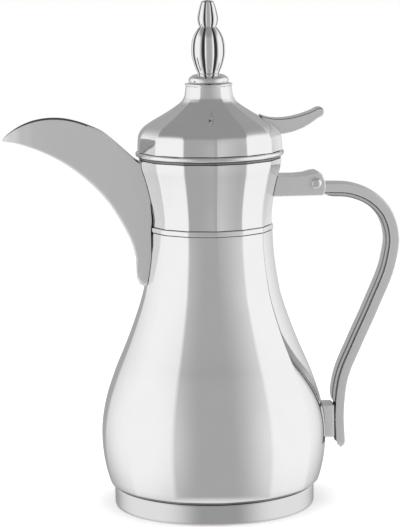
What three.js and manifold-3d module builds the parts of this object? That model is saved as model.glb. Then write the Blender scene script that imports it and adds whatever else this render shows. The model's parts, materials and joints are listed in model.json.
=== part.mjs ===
// Insulated dallah coffee pot: a fourteen-sided steel pot with a beak spout, a riveted strap handle
// and a screw-in lid whose thumb lever lifts a pour valve.
// Millimetres, +Z up. The origin is on the pot's axis, in the plane it stands on.
// +X points to the handle, -X to the spout.
import * as THREE from 'three';
import { mergeVertices } from 'three/addons/utils/BufferGeometryUtils.js';
import Module from 'manifold-3d';

const wasm = await Module();
wasm.setup();

// ---------------------------------------------------------------- driving dimensions
const HEIGHT = 300;              // floor to the top of the finial
const SIDES = 14;                // flats round the body, neck and lid
const LOBES = 8;                 // sides of the finial
const ROUND = 28;                // segments of a large round piece
const SMALL_ROUND = 14;          // segments of a small round piece
const GAP = 0.3;                 // between pieces that touch
const BODY_WALL = 1.5;
const NECK_WALL = 1.3;
const LINER_WALL = 1.2;

const FOOT_R = 59.5;
const FOOT_H = 11.9;
const BODY_BOTTOM = FOOT_H + GAP;
const BODY_TOP = 164.3;
const NECK_RING_TOP = 167.7;
const NECK_BOTTOM = NECK_RING_TOP + GAP;
const NECK_TOP = 206.6;
const RIM_TOP = 208.2;
const LID_BOTTOM = RIM_TOP + GAP;
const LID_PLATE_BOTTOM = 209.2;
const LID_PLATE_TOP = 211.2;
const DOME_BOTTOM = LID_PLATE_TOP + GAP;
const DOME_TOP = 250.6;

const LINER_BOTTOM = 18.3;
const LINER_TOP = 178;
const LINER_NECK_R = 29.5;
const STOPPER_R = 26.1;
const STOPPER_WALL = 2.3;
const STOPPER_BOTTOM = 166;

const PIVOT = { x: 33.5, z: 222 };   // lever pin
const LEVER_HALF = 6.7;              // half width of the thumb piece
const STEM_R = 1.5;
const STEM_HOLE_R = 1.9;

const SPOUT_HALF = 9.8;              // half width at the root
const SPOUT_WALL = 1.3;
const BAR_HALF = 7.5;                // half width of the handle bar
const BAR_EDGE = 5;                  // thickness of the bar at its edges
const BAR_FULL = 7.8;                // thickness with the grip strip
const BRACKET_HALF = 9.5;
const RIVET = { x: 61.6, z: 191.2, r: 2.2 };
const BOSS = { low: 37.5, high: 58 };

// Outside profiles as [corner radius, height].
const BODY_PROFILE = [
  [61.6, BODY_BOTTOM], [63, 16], [64.9, 23], [66.3, 31], [67, 40], [66.8, 48], [65.8, 56],
  [63.8, 65], [60.9, 74], [57.5, 83], [53.6, 92], [49.9, 101], [46.5, 110], [43.4, 119],
  [40.8, 128], [39.3, 136], [38.1, 144], [37.3, 151], [36.8, 158], [36.7, BODY_TOP],
];
const NECK_PROFILE = [
  [36.4, NECK_BOTTOM], [36.2, 171], [36.5, 176], [37.1, 181], [38.6, 189], [40.5, 197],
  [41.9, 202], [42.4, NECK_TOP],
];
const DOME_PROFILE = [
  [43.1, DOME_BOTTOM], [42.8, 218.2], [41.8, 221.7], [38.8, 225.3], [33.7, 228.8],
  [27.6, 232.3], [22, 235.8], [17.2, 239.3], [14.5, 242.8], [13.9, 246.3], [13.8, 249.9],
  [13.2, DOME_TOP],
];
const LINER_PROFILE = [
  [44, LINER_BOTTOM], [52, 22], [57, 30], [58.5, 40], [58.2, 50], [56, 62], [52, 74],
  [46, 89], [40, 104], [35, 120], [31.6, 136], [30, 150], [LINER_NECK_R, 162],
  [LINER_NECK_R, LINER_TOP],
];
const BULB_PROFILE = [
  [6.2, 256.5], [7.9, 260.3], [9, 263.8], [9.8, 267.3], [9.9, 270.8], [9.6, 274.3], [8.7, 277.8],
  [6.8, 281.3], [5.2, 283.3],
];
const TIP_PROFILE = [
  [5, 283.6], [5.8, 286], [6.1, 288.6], [5.5, 292], [4.7, 295.2], [3.9, 297.5], [2.7, 298.7],
  [1.1, 299], [1.1, HEIGHT],
];

// Spout outline in the XZ plane: its top edge and its underside, from the tip to the pot.
const SPOUT_TOP = [
  [-121.6, 219.6], [-115, 225.1], [-107.5, 229.4], [-100, 231.6], [-92.5, 232.4], [-85, 232],
  [-77.7, 230.2], [-70.3, 227.2], [-63, 223.3], [-55.6, 217.3], [-48.2, 210.5], [-42.5, 205.6],
];
const SPOUT_UNDER = [
  [-121.6, 219.6], [-115, 218.6], [-104, 215.3], [-93, 210.4], [-82, 203.7], [-74.7, 197.9],
  [-67.3, 191], [-60.1, 182.5], [-52.8, 170.6], [-47.7, 160.2], [-44.9, 151.8], [-43.5, 144.2],
  [-42.8, 134],
];
const HOOD_START = -72;              // the spout is open from the tip to here
// Half width of the spout against x.
const SPOUT_TAPER = [
  [-121.6, 0.7], [-118, 2.6], [-112, 4.8], [-104, 6.4], [-94, 7.3], [-80, 7.9], [-60, 8.8],
  [-36, SPOUT_HALF],
];

// Outer edge of the handle bar in the XZ plane, from the bracket to the lower end.
const HANDLE_EDGE = [
  [50, 190.8], [68.5, 190.6], [84, 189.4], [96.6, 184], [106, 174.6], [111.2, 158], [109.3, 143],
  [98.7, 115.5], [88.3, 92.7], [80.3, 73.3], [77.8, 54], [78.6, 34.3],
];

// ---------------------------------------------------------------- solids
// A geometry as one closed, outward-facing mesh with shared vertices.
function closed(geometry) {
  geometry.deleteAttribute('normal');
  geometry.deleteAttribute('uv');
  const merged = mergeVertices(geometry.index ? geometry : mergeVertices(geometry), 1e-4);
  const position = merged.attributes.position;
  const index = merged.index.array;
  const kept = [];
  let volume = 0;
  const a = new THREE.Vector3();
  const b = new THREE.Vector3();
  const c = new THREE.Vector3();
  for (let i = 0; i < index.length; i += 3) {
    const [p, q, r] = [index[i], index[i + 1], index[i + 2]];
    if (p === q || q === r || r === p) continue;
    kept.push(p, q, r);
    a.fromBufferAttribute(position, p);
    b.fromBufferAttribute(position, q);
    c.fromBufferAttribute(position, r);
    volume += a.dot(b.cross(c));
  }
  if (volume < 0) kept.reverse();
  merged.setIndex(kept);
  return merged;
}

function toSolid(geometry) {
  const mesh = closed(geometry);
  return new wasm.Manifold(new wasm.Mesh({
    numProp: 3,
    vertProperties: new Float32Array(mesh.attributes.position.array),
    triVerts: new Uint32Array(mesh.index.array),
  }));
}

function toGeometry(solid) {
  const mesh = solid.getMesh();
  const geometry = new THREE.BufferGeometry();
  geometry.setAttribute('position', new THREE.BufferAttribute(mesh.vertProperties, 3));
  geometry.setIndex(new THREE.BufferAttribute(mesh.triVerts, 1));
  return geometry;
}

// A closed [radius, height] profile turned about Z. Corners are symmetric about the X axis.
function turned(profile, sides = ROUND) {
  const points = [...profile, profile[0]].map(([r, z]) => new THREE.Vector2(r, z));
  const start = Math.PI / 2 + Math.PI / sides;
  return closed(new THREE.LatheGeometry(points, sides, start).rotateX(Math.PI / 2));
}

// A shell: the profile outside, moved in by the wall inside, open at both ends.
function shell(profile, wall, sides) {
  const inside = profile.map(([r, z]) => [r - wall, z]).reverse();
  return turned([...profile, ...inside], sides);
}

function ring(inner, outer, low, high, sides = ROUND) {
  return turned([[inner, low], [outer, low], [outer, high], [inner, high]], sides);
}

function disc(radius, low, high, sides = ROUND) {
  return turned([[0, low], [radius, low], [radius, high], [0, high]], sides);
}

function box([x0, y0, z0], [x1, y1, z1]) {
  const geometry = new THREE.BoxGeometry(x1 - x0, y1 - y0, z1 - z0);
  return geometry.translate((x0 + x1) / 2, (y0 + y1) / 2, (z0 + z1) / 2);
}

function rod(radius, from, to, sides = SMALL_ROUND) {
  const start = new THREE.Vector3(...from);
  const axis = new THREE.Vector3(...to).sub(start);
  const geometry = new THREE.CylinderGeometry(radius, radius, axis.length(), sides);
  const turn = new THREE.Quaternion().setFromUnitVectors(new THREE.Vector3(0, 1, 0), axis.clone().normalize());
  return geometry.applyQuaternion(turn).translate(...start.addScaledVector(axis, 0.5));
}

// An XZ outline made as thick as 2 * half along Y.
function plate(outline, half) {
  const shape = new THREE.Shape(outline.map(([x, z]) => new THREE.Vector2(x, z)));
  const geometry = new THREE.ExtrudeGeometry(shape, { depth: 2 * half, bevelEnabled: false });
  return geometry.translate(0, 0, -half).rotateX(Math.PI / 2);
}

function joined(first, ...rest) {
  return toGeometry(rest.reduce((solid, next) => solid.add(toSolid(next)), toSolid(first)));
}

function cut(first, ...rest) {
  return toGeometry(rest.reduce((solid, next) => solid.subtract(toSolid(next)), toSolid(first)));
}

function common(first, second) {
  return toGeometry(toSolid(first).intersect(toSolid(second)));
}

function interpolate(table, x) {
  const next = table.findIndex(([key]) => key >= x);
  if (next < 0) return table[table.length - 1][1];
  if (next === 0) return table[0][1];
  const [x0, y0] = table[next - 1];
  const [x1, y1] = table[next];
  return y0 + (y1 - y0) * (x - x0) / (x1 - x0);
}

// The pot's outside, grown by a gap, to trim what is fastened on it.
const NECK_RING_R = 37.1;
const grown = [...BODY_PROFILE, [NECK_RING_R, BODY_TOP], [NECK_RING_R, NECK_BOTTOM], ...NECK_PROFILE]
  .map(([r, z]) => [r + GAP + 0.1, z]);
const POT_ENVELOPE = turned([[0, BODY_BOTTOM], ...grown, [0, NECK_TOP]], SIDES);

// ---------------------------------------------------------------- the scene graph
const pot = new THREE.Group();

const FINISHES = {
  polished: { color: 0xd8dadc, roughness: 0.08, metalness: 1 },
  satin: { color: 0xa9abad, roughness: 0.28, metalness: 1 },
  steel: { color: 0xb4b6b8, roughness: 0.4, metalness: 1 },
  grip: { color: 0xc4c6c8, roughness: 0.35, metalness: 1 },
  plastic: { color: 0x2c2d2f, roughness: 0.5, metalness: 0 },
  silicone: { color: 0xe6e6e2, roughness: 0.7, metalness: 0 },
};

function piece(name, finish, geometry) {
  const mesh = new THREE.Mesh(geometry, new THREE.MeshStandardMaterial(FINISHES[finish]));
  mesh.name = name;
  pot.add(mesh);
}

// ---------------------------------------------------------------- foot and body
const FOOT_ROUND = 48;               // the foot's edge shows, so it is rounder
const FOOT_WALL = 2;
const FOOT_FLANGE_R = 50;
piece('foot_ring', 'polished', turned([
  [FOOT_R - 0.6, 0], [FOOT_R, 0.8], [FOOT_R, FOOT_H - 0.7], [FOOT_R - 0.6, FOOT_H],
  [FOOT_FLANGE_R, FOOT_H], [FOOT_FLANGE_R, FOOT_H - 1.5], [FOOT_R - FOOT_WALL, FOOT_H - 1.5],
  [FOOT_R - FOOT_WALL, 0],
], FOOT_ROUND));

const CAP_R = FOOT_R - FOOT_WALL - GAP;
const CAP_FLOOR = 1.8;
piece('base_cap', 'plastic', turned([
  [0, 0], [CAP_R, 0], [CAP_R, 5], [CAP_R - 1.6, 5], [CAP_R - 1.6, CAP_FLOOR], [0, CAP_FLOOR],
], FOOT_ROUND));
piece('liner_support', 'silicone', ring(30, 36, CAP_FLOOR + GAP, LINER_BOTTOM - GAP));

const boltHeight = (BOSS.low + BOSS.high) / 2;
const BOLT_R = 1.5;
const BOLT_HOLE_R = 1.85;
const BODY_INSIDE_X = 63.4;          // inner face of the flat at the boss
const bossBore = rod(BOLT_HOLE_R, [55, 0, boltHeight], [90, 0, boltHeight]);
piece('outer_body', 'polished', cut(shell(BODY_PROFILE, BODY_WALL, SIDES), bossBore));

const linerInside = LINER_PROFILE.map(([r, z]) => [r - LINER_WALL, z]).reverse();
linerInside[linerInside.length - 1] = [LINER_PROFILE[0][0] - LINER_WALL, LINER_BOTTOM + LINER_WALL];
piece('inner_liner', 'steel', turned(
  [[0, LINER_BOTTOM], ...LINER_PROFILE, ...linerInside, [0, LINER_BOTTOM + LINER_WALL]], 28));

// ---------------------------------------------------------------- neck
piece('neck_ring', 'polished', turned([
  [LINER_NECK_R + 1.5, BODY_TOP + GAP], [NECK_RING_R - 0.5, BODY_TOP + GAP], [NECK_RING_R, BODY_TOP + 1],
  [NECK_RING_R, NECK_RING_TOP - 0.7], [NECK_RING_R - 0.5, NECK_RING_TOP], [LINER_NECK_R + 1.5, NECK_RING_TOP],
], SIDES));

const WINDOW = { low: 186, high: 196, half: 7 };       // pour window in stopper, collar and neck
const neckWindow = box([-45, -WINDOW.half - 1, 182], [-30, WINDOW.half + 1, 200]);
const BRACKET_SCREW_Y = 5;
const BRACKET_SCREW_Z = 189.5;
const bracketBores = [-1, 1].map((side) => rod(
  BOLT_HOLE_R, [35, side * BRACKET_SCREW_Y, BRACKET_SCREW_Z], [46.5, side * BRACKET_SCREW_Y, BRACKET_SCREW_Z]));
piece('neck_shell', 'polished', cut(shell(NECK_PROFILE, NECK_WALL, SIDES), neckWindow, ...bracketBores));
piece('rim_ring', 'polished', ring(39.5, 42.8, NECK_TOP + GAP, RIM_TOP, SIDES));

const COLLAR_R = 33;
const COLLAR_BORE = LINER_NECK_R - LINER_WALL + 0.1;   // the stopper's gasket passes it
const collarWindow = box([-40, -WINDOW.half, WINDOW.low - 1], [-20, WINDOW.half, WINDOW.high + 1]);
piece('pour_collar', 'plastic', cut(turned([
  [LINER_NECK_R + 0.4, NECK_BOTTOM + 0.4], [COLLAR_R, NECK_BOTTOM + 0.4], [COLLAR_R, NECK_TOP - 3],
  [38, NECK_TOP - 2], [38, NECK_TOP], [COLLAR_BORE, NECK_TOP], [COLLAR_BORE, LINER_TOP + GAP],
  [LINER_NECK_R + 0.4, LINER_TOP + GAP],
]), collarWindow));

// ---------------------------------------------------------------- spout
// A plate whose half width follows the spout's taper, less a wall.
function tapered(outline, wall) {
  const geometry = closed(plate(outline, 1));
  const position = geometry.attributes.position;
  for (let i = 0; i < position.count; i += 1) {
    const half = Math.max(interpolate(SPOUT_TAPER, position.getX(i)) - wall, 0.3);
    position.setY(i, Math.sign(position.getY(i)) * half);
  }
  return geometry;
}

const SPOUT_ROOT = -20;              // inside the pot, before it is trimmed to the flats
const spoutOutside = [
  ...SPOUT_TOP, [SPOUT_ROOT, SPOUT_TOP.at(-1)[1]], [SPOUT_ROOT, SPOUT_UNDER.at(-1)[1]],
  ...SPOUT_UNDER.slice(1).reverse(),
];
const spoutMouth = SPOUT_TOP.slice(1).map(([x, z]) => [x, z + 8]);
const spoutUnderside = SPOUT_UNDER.slice(2, -1).map(([x, z]) => [x + 0.9, z + 1]);
const spoutInside = [
  ...spoutMouth, [SPOUT_ROOT + 1, spoutMouth.at(-1)[1]], [SPOUT_ROOT + 1, 137], [-41.8, 137],
  ...spoutUnderside.reverse(), [-113, 219.4],
];
piece('spout_shell', 'satin', cut(tapered(spoutOutside, 0), tapered(spoutInside, SPOUT_WALL), POT_ENVELOPE));

const HOOD_THICK = 1.2;
const hoodTop = SPOUT_TOP.filter(([x]) => x > HOOD_START);
const hoodUnder = hoodTop.map(([x, z]) => [x - 0.9, z - HOOD_THICK]).reverse();
piece('spout_hood', 'satin', cut(tapered([...hoodTop, ...hoodUnder], SPOUT_WALL + GAP), POT_ENVELOPE));

const FLOOR_LINE = [[-82, 208.2], [-76, 203.5], [-66, 196], [-56, 188.5], [-46, 183], [-36.5, 180.8]];
const floorUnder = FLOOR_LINE.map(([x, z]) => [x + 0.4, z - 1.2]).reverse();
piece('spout_floor', 'steel', cut(tapered([...FLOOR_LINE, ...floorUnder], SPOUT_WALL + 3 * GAP), POT_ENVELOPE));

// ---------------------------------------------------------------- handle
const handleCurve = new THREE.SplineCurve(HANDLE_EDGE.map(([x, z]) => new THREE.Vector2(x, z)));
const HANDLE_STEPS = 28;

// A point beside the handle's outer edge, moved towards the hand by depth.
function besideHandle(t, depth) {
  const point = handleCurve.getPointAt(t);
  const tangent = handleCurve.getTangentAt(t);
  return [point.x + tangent.y * depth, point.y - tangent.x * depth];
}

// A strip of the bar between two depths, over part of its length.
function handleStrip(half, near, far, from = 0, to = 1) {
  const outer = [];
  const inner = [];
  for (let i = 0; i <= HANDLE_STEPS; i += 1) {
    const t = from + (to - from) * i / HANDLE_STEPS;
    outer.push(besideHandle(t, near));
    inner.push(besideHandle(t, far));
  }
  return plate([...outer, ...inner.reverse()], half);
}

const CROWN = 0.8;                   // rise of the bar's outer face above its edges
const GROOVE_HALF = 5.9;
const GROOVE_DEPTH = 2.2;
const rivetBore = rod(RIVET.r + GAP, [RIVET.x, -20, RIVET.z], [RIVET.x, 20, RIVET.z]);
const bar = joined(handleStrip(BAR_HALF, 0, BAR_EDGE), handleStrip(GROOVE_HALF, -CROWN, 1));
piece('handle_channel', 'satin', cut(
  bar, handleStrip(GROOVE_HALF, GROOVE_DEPTH, BAR_EDGE + 1, 0.06, 0.96), rivetBore,
  rod(BOLT_HOLE_R, [66, 0, boltHeight], [76.6, 0, boltHeight])));
const strip = handleStrip(GROOVE_HALF - 0.4, GROOVE_DEPTH + GAP, BAR_FULL, 0.09, 0.87);
piece('handle_strip', 'grip', cut(strip, rivetBore));

const bracketOutline = [
  [30, 184], [66.3, 184], [67.4, 188], [67.3, 192], [65.6, 195.8], [63, 197.6], [60, 197.4], [55.5, 196.2],
  [50, 195.8], [30, 196],
];
const pocket = box([47, -BAR_HALF - 0.4, 180], [80, BAR_HALF + 0.4, 192.2]);
const flange = plate([[30, 181], [38.4, 181], [42.1, 198.6], [30, 198.6]], 10.6);
piece('handle_bracket', 'satin', cut(
  joined(plate(bracketOutline, BRACKET_HALF), flange), pocket, POT_ENVELOPE, rivetBore, ...bracketBores));

// The rivet's domed head, turned about Z and then laid along the rivet.
function rivetHead(side) {
  const dome = turned([[0, 0], [3.45, 0], [3.2, 0.9], [2.2, 1.6], [0, 1.9]], SMALL_ROUND);
  dome.rotateX(-side * Math.PI / 2);
  return dome.translate(RIVET.x, side * (BRACKET_HALF + GAP), RIVET.z);
}
piece('handle_rivet', 'polished', joined(
  rod(RIVET.r, [RIVET.x, -BRACKET_HALF - 0.5, RIVET.z], [RIVET.x, BRACKET_HALF + 0.5, RIVET.z]),
  rivetHead(-1), rivetHead(1)));

piece('handle_boss', 'satin', cut(
  box([60, -BAR_HALF + 0.4, BOSS.low], [72.3, BAR_HALF - 0.4, BOSS.high]), POT_ENVELOPE, bossBore));
piece('boss_screw', 'steel', joined(
  rod(BOLT_R, [61, 0, boltHeight], [76.2, 0, boltHeight]),
  rod(3, [60.6, 0, boltHeight], [BODY_INSIDE_X - 0.1, 0, boltHeight])));
for (const side of [-1, 1]) {
  const y = side * BRACKET_SCREW_Y;
  piece(side < 0 ? 'bracket_screw_1' : 'bracket_screw_2', 'steel', joined(
    rod(BOLT_R, [34.5, y, BRACKET_SCREW_Z], [46, y, BRACKET_SCREW_Z]),
    rod(2.6, [33.7, y, BRACKET_SCREW_Z], [35.6, y, BRACKET_SCREW_Z])));
}

// ---------------------------------------------------------------- lid
piece('lid_gasket', 'silicone', ring(35.4, 38.1, NECK_TOP + GAP, LID_PLATE_BOTTOM - GAP));
piece('lid_bead', 'polished', turned([
  [40.2, LID_BOTTOM], [43.2, LID_BOTTOM], [43.7, LID_BOTTOM + 0.7], [43.7, LID_PLATE_TOP - 0.6],
  [43.2, LID_PLATE_TOP], [40.2, LID_PLATE_TOP],
]));

const SCREW_CIRCLE = 32.8;
const SCREW_ANGLES = [60, 180, 300].map((angle) => angle * Math.PI / 180);
const screwPlaces = SCREW_ANGLES.map((angle) => [SCREW_CIRCLE * Math.cos(angle), SCREW_CIRCLE * Math.sin(angle)]);

const domeInside = DOME_PROFILE.slice(0, -1).map(([r, z]) => [r - NECK_WALL, z - 1]);
domeInside[0] = [domeInside[0][0], DOME_BOTTOM];
const STUD_R = 2.2;
const STUD_HOLE_R = STUD_R + 0.4;
const domeSolid = turned([[0, DOME_BOTTOM], ...DOME_PROFILE, [0, DOME_TOP]], SIDES);
const domeHollow = turned([[0, DOME_BOTTOM - 5], [domeInside[0][0], DOME_BOTTOM - 5], ...domeInside,
  [0, domeInside.at(-1)[1]]], SIDES);
const posts = screwPlaces.map(([x, y]) => common(rod(3, [x, y, DOME_BOTTOM + 0.1], [x, y, 232]), domeSolid));
const screwBores = screwPlaces.map(([x, y]) => rod(1.3, [x, y, 200], [x, y, 219]));
const leverSlot = box([29, -LEVER_HALF - 0.6, 218.9], [50, LEVER_HALF + 0.6, 240]);
const studBore = rod(STUD_HOLE_R, [0, 0, 240], [0, 0, 292.5]);
piece('lid_dome', 'polished', cut(joined(cut(domeSolid, domeHollow), ...posts), leverSlot, studBore, ...screwBores));

const stemBore = rod(STEM_HOLE_R, [0, 0, 150], [0, 0, 215]);
piece('lid_plate', 'plastic', cut(disc(39.8, LID_PLATE_BOTTOM, LID_PLATE_TOP), stemBore, ...screwBores));
screwPlaces.forEach(([x, y], i) => {
  piece(`lid_screw_${i + 1}`, 'steel', joined(
    rod(1, [x, y, LID_PLATE_BOTTOM - 1], [x, y, 217], 12),
    rod(2.1, [x, y, LID_PLATE_BOTTOM - 1.8], [x, y, LID_PLATE_BOTTOM - GAP], 12)));
});

// ---------------------------------------------------------------- stopper and pour valve
const stopperWindow = box([-30, -WINDOW.half + 0.5, WINDOW.low], [-15, WINDOW.half - 0.5, WINDOW.high]);
const STOPPER_TOP = LID_PLATE_BOTTOM - GAP;
const STOPPER_FLANGE_R = 30;
const SEAT_R = 8;
piece('stopper_body', 'plastic', cut(turned([
  [SEAT_R, STOPPER_BOTTOM], [STOPPER_R, STOPPER_BOTTOM], [STOPPER_R, STOPPER_TOP - 2],
  [STOPPER_FLANGE_R, STOPPER_TOP - 2], [STOPPER_FLANGE_R, STOPPER_TOP], [STOPPER_R - STOPPER_WALL, STOPPER_TOP], [STOPPER_R - STOPPER_WALL, STOPPER_BOTTOM + 2.5],
  [SEAT_R, STOPPER_BOTTOM + 2.5],
]), stopperWindow));
piece('stopper_gasket', 'silicone', ring(STOPPER_R + GAP, LINER_NECK_R - LINER_WALL - GAP, 169, 173));

const SEAT_TOP = STOPPER_BOTTOM + 2.5;
piece('valve_seal', 'silicone', ring(SEAT_R + 0.4, 11, SEAT_TOP + GAP, SEAT_TOP + 2.2, SMALL_ROUND + 8));
const PLUG_LOW = SEAT_TOP + 2.5;
piece('valve_plug', 'plastic', turned([
  [STEM_HOLE_R, PLUG_LOW - 2], [SEAT_R - 0.4, PLUG_LOW - 2], [SEAT_R - 0.4, PLUG_LOW], [11, PLUG_LOW],
  [11, PLUG_LOW + 3.5], [STEM_HOLE_R, PLUG_LOW + 3.5],
], SMALL_ROUND + 8));
const STEM_COLLAR = PLUG_LOW + 3.5 + GAP;
const ARM_TOP = 218.5;
piece('valve_stem', 'steel', turned([
  [0, PLUG_LOW - 1], [STEM_R, PLUG_LOW - 1], [STEM_R, STEM_COLLAR], [6.5, STEM_COLLAR], [6.5, STEM_COLLAR + 1.5],
  [STEM_R, STEM_COLLAR + 1.5], [STEM_R, ARM_TOP + 0.9], [3.5, ARM_TOP + 0.9], [3.5, ARM_TOP + 3.3],
  [0, ARM_TOP + 3.3],
], SMALL_ROUND));

// A compression spring wound round the stem.
class Helix extends THREE.Curve {
  constructor(radius, low, high, turns) {
    super();
    Object.assign(this, { radius, low, high, turns });
  }

  getPoint(t, target = new THREE.Vector3()) {
    const angle = 2 * Math.PI * this.turns * t;
    return target.set(
      this.radius * Math.cos(angle), this.radius * Math.sin(angle), this.low + (this.high - this.low) * t);
  }
}
const WIRE_R = 0.55;
const SPRING_TURNS = 7;
const wire = new THREE.Shape().absarc(0, 0, WIRE_R, 0, 2 * Math.PI);
piece('valve_spring', 'steel', closed(new THREE.ExtrudeGeometry(wire, {
  steps: SPRING_TURNS * 10,
  curveSegments: 3,
  extrudePath: new Helix(5, STEM_COLLAR + 1.5 + GAP + WIRE_R, STOPPER_TOP - WIRE_R, SPRING_TURNS),
})));

// ---------------------------------------------------------------- thumb lever
const thumbOutline = [
  [29.9, 231.4], [33, 230.2], [36.5, 229.5], [41, 229.2], [46.9, 229.6], [52.3, 230.7], [57.7, 232.3],
  [61.2, 233.7], [64.5, 235.2], [66.3, 234.6], [67, 232.6], [66.2, 231], [63.4, 229.4], [60.2, 227.1],
  [54.8, 224], [49.4, 222], [45.2, 221], [41, 220.3], [37.5, 219.4], [33.5, 218.6], [30.6, 220.2], [30.2, 224],
  [31.2, 229],
];
const armOutline = [
  [34, 219], [30.5, 216], [26, 215.5], [-4.5, 215.5], [-4.5, ARM_TOP], [26, ARM_TOP], [29.5, 220.5], [33, 223],
];
const PIN_R = 1.3;
const leverBore = rod(PIN_R + GAP, [PIVOT.x, -12, PIVOT.z], [PIVOT.x, 12, PIVOT.z]);
const forkBore = rod(2.3, [0, 0, 210], [0, 0, 222]);
piece('thumb_lever', 'satin', cut(joined(plate(thumbOutline, LEVER_HALF), plate(armOutline, 3.2)), leverBore, forkBore));

const EAR_IN = LEVER_HALF + 0.7;
const EAR_OUT = EAR_IN + 1.5;
const ears = [-1, 1].map((side) => box(
  [30.2, Math.min(side * EAR_IN, side * EAR_OUT), LID_PLATE_TOP + GAP],
  [36, Math.max(side * EAR_IN, side * EAR_OUT), 224.4]));
piece('lever_bracket', 'steel', cut(
  joined(box([24, -EAR_OUT, LID_PLATE_TOP + GAP], [36.5, EAR_OUT, LID_PLATE_TOP + 1.7]), ...ears), leverBore));
piece('lever_pin', 'steel', rod(PIN_R, [PIVOT.x, -EAR_OUT - 0.6, PIVOT.z], [PIVOT.x, EAR_OUT + 0.6, PIVOT.z]));

// ---------------------------------------------------------------- finial
piece('finial_base', 'polished', turned([
  [STUD_HOLE_R, DOME_TOP + GAP], [10.5, DOME_TOP + GAP], [11.7, 252.2], [11.6, 253.6], [9.8, 255.2], [6.5, 256.2],
  [STUD_HOLE_R, 256.2],
], 32));
piece('finial_bulb', 'polished', cut(turned([[0, 256.5], ...BULB_PROFILE, [0, 283.3]], LOBES), studBore));
piece('finial_tip', 'polished', cut(turned([[0, 283.6], ...TIP_PROFILE, [0, HEIGHT]], LOBES), studBore));
piece('finial_stud', 'steel', rod(STUD_R, [0, 0, 244], [0, 0, 292]));
piece('finial_nut', 'steel', ring(STUD_HOLE_R, 4.6, 245.4, 248.5, 6));

export default pot;
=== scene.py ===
import json
from math import cos, pi, radians, sin, sqrt, tan

import bmesh
import bpy
from mathutils import Matrix, Vector


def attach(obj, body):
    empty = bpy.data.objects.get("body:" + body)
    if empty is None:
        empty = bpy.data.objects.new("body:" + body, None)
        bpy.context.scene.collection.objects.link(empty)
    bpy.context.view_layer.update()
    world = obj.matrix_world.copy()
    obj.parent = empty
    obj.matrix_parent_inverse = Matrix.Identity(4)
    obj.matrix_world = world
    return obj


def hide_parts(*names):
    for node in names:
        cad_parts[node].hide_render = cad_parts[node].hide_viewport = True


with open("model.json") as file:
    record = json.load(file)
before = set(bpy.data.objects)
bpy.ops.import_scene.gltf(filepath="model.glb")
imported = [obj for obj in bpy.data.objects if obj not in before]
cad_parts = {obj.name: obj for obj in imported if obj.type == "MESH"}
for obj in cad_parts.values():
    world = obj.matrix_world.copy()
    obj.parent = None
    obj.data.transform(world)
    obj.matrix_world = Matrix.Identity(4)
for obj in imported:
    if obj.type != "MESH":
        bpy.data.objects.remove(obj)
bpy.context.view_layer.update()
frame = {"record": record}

# The shapes below are written in millimetres, in the part's own frame, and become metres when a
# piece is added to the scene.
MM = 0.001

# ---------------------------------------------------------------- driving dimensions
SIDES = 14                       # flats round the body, neck and lid
LOBES = 8                        # sides of the finial
HALF = pi / SIDES                # half the angle of one flat
CORNER = 0.022                   # angle over which a corner between two flats is rounded
GAP = 0.3
TRIM = 0.25                      # gap between the pot and what is fastened on it
BODY_WALL = 1.5
NECK_WALL = 1.3
LINER_WALL = 1.2

NECK_FULLNESS = -0.25            # below 0 a flat is slightly hollow
LID_FULLNESS = [(217, -0.3), (224, 0.0), (240, 0.1), (241, 0.3), (250, 0.3)]   # by height
DARK_UNDER = 13.2                # below this height the body's turned-in edge is dark steel, painted shade above the foot

FOOT_R = 59.5
FOOT_H = 11.9
FOOT_WALL = 2
FOOT_FLANGE_R = 50
BODY_BOTTOM = 12.2
BODY_TOP = 164.3
NECK_RING_R = 37.1
NECK_RING_TOP = 167.7
NECK_BOTTOM = 168
NECK_TOP = 206.6
RIM_TOP = 208.2
LID_BOTTOM = 208.5
LID_PLATE_BOTTOM = 209.2
LID_PLATE_TOP = 211.2
LID_PLATE_R = 39.8
DOME_BOTTOM = 211.5
DOME_TOP = 250.6
LINER_BOTTOM = 18.3
LINER_TOP = 178
LINER_NECK_R = 29.5
COLLAR_R = 33
COLLAR_BORE = 28.4
STOPPER_R = 26.1
STOPPER_BOTTOM = 166
STOPPER_FLANGE_R = 30
SEAT_R = 8
STEM_R = 1.5
ARM_TOP = 218.5
LEVER_SLOT_FLOOR = 218.1
SCREW_CIRCLE = 32.8

PIVOT = (33.5, 222)              # lever pin, as x and z
LEVER_HALF = 6.7
SPOUT_WALL = 1.3
HOOD_START = -72
BAR_HALF = 7.5
BAR_EDGE = 5
BAR_FULL = 7.8
CROWN = 0.8
GROOVE_HALF = 5.9
GROOVE_DEPTH = 2.2
BRACKET_HALF = 9.5
RIVET = (61.6, 191.2)            # as x and z
RIVET_BORE_R = 2.5
BOLT_BORE_R = 1.85
BOSS_LOW = 37.5
BOSS_HIGH = 58
BOLT_Z = (BOSS_LOW + BOSS_HIGH) / 2
BRACKET_SCREW_Y = 5
BRACKET_SCREW_Z = 189.5

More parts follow.
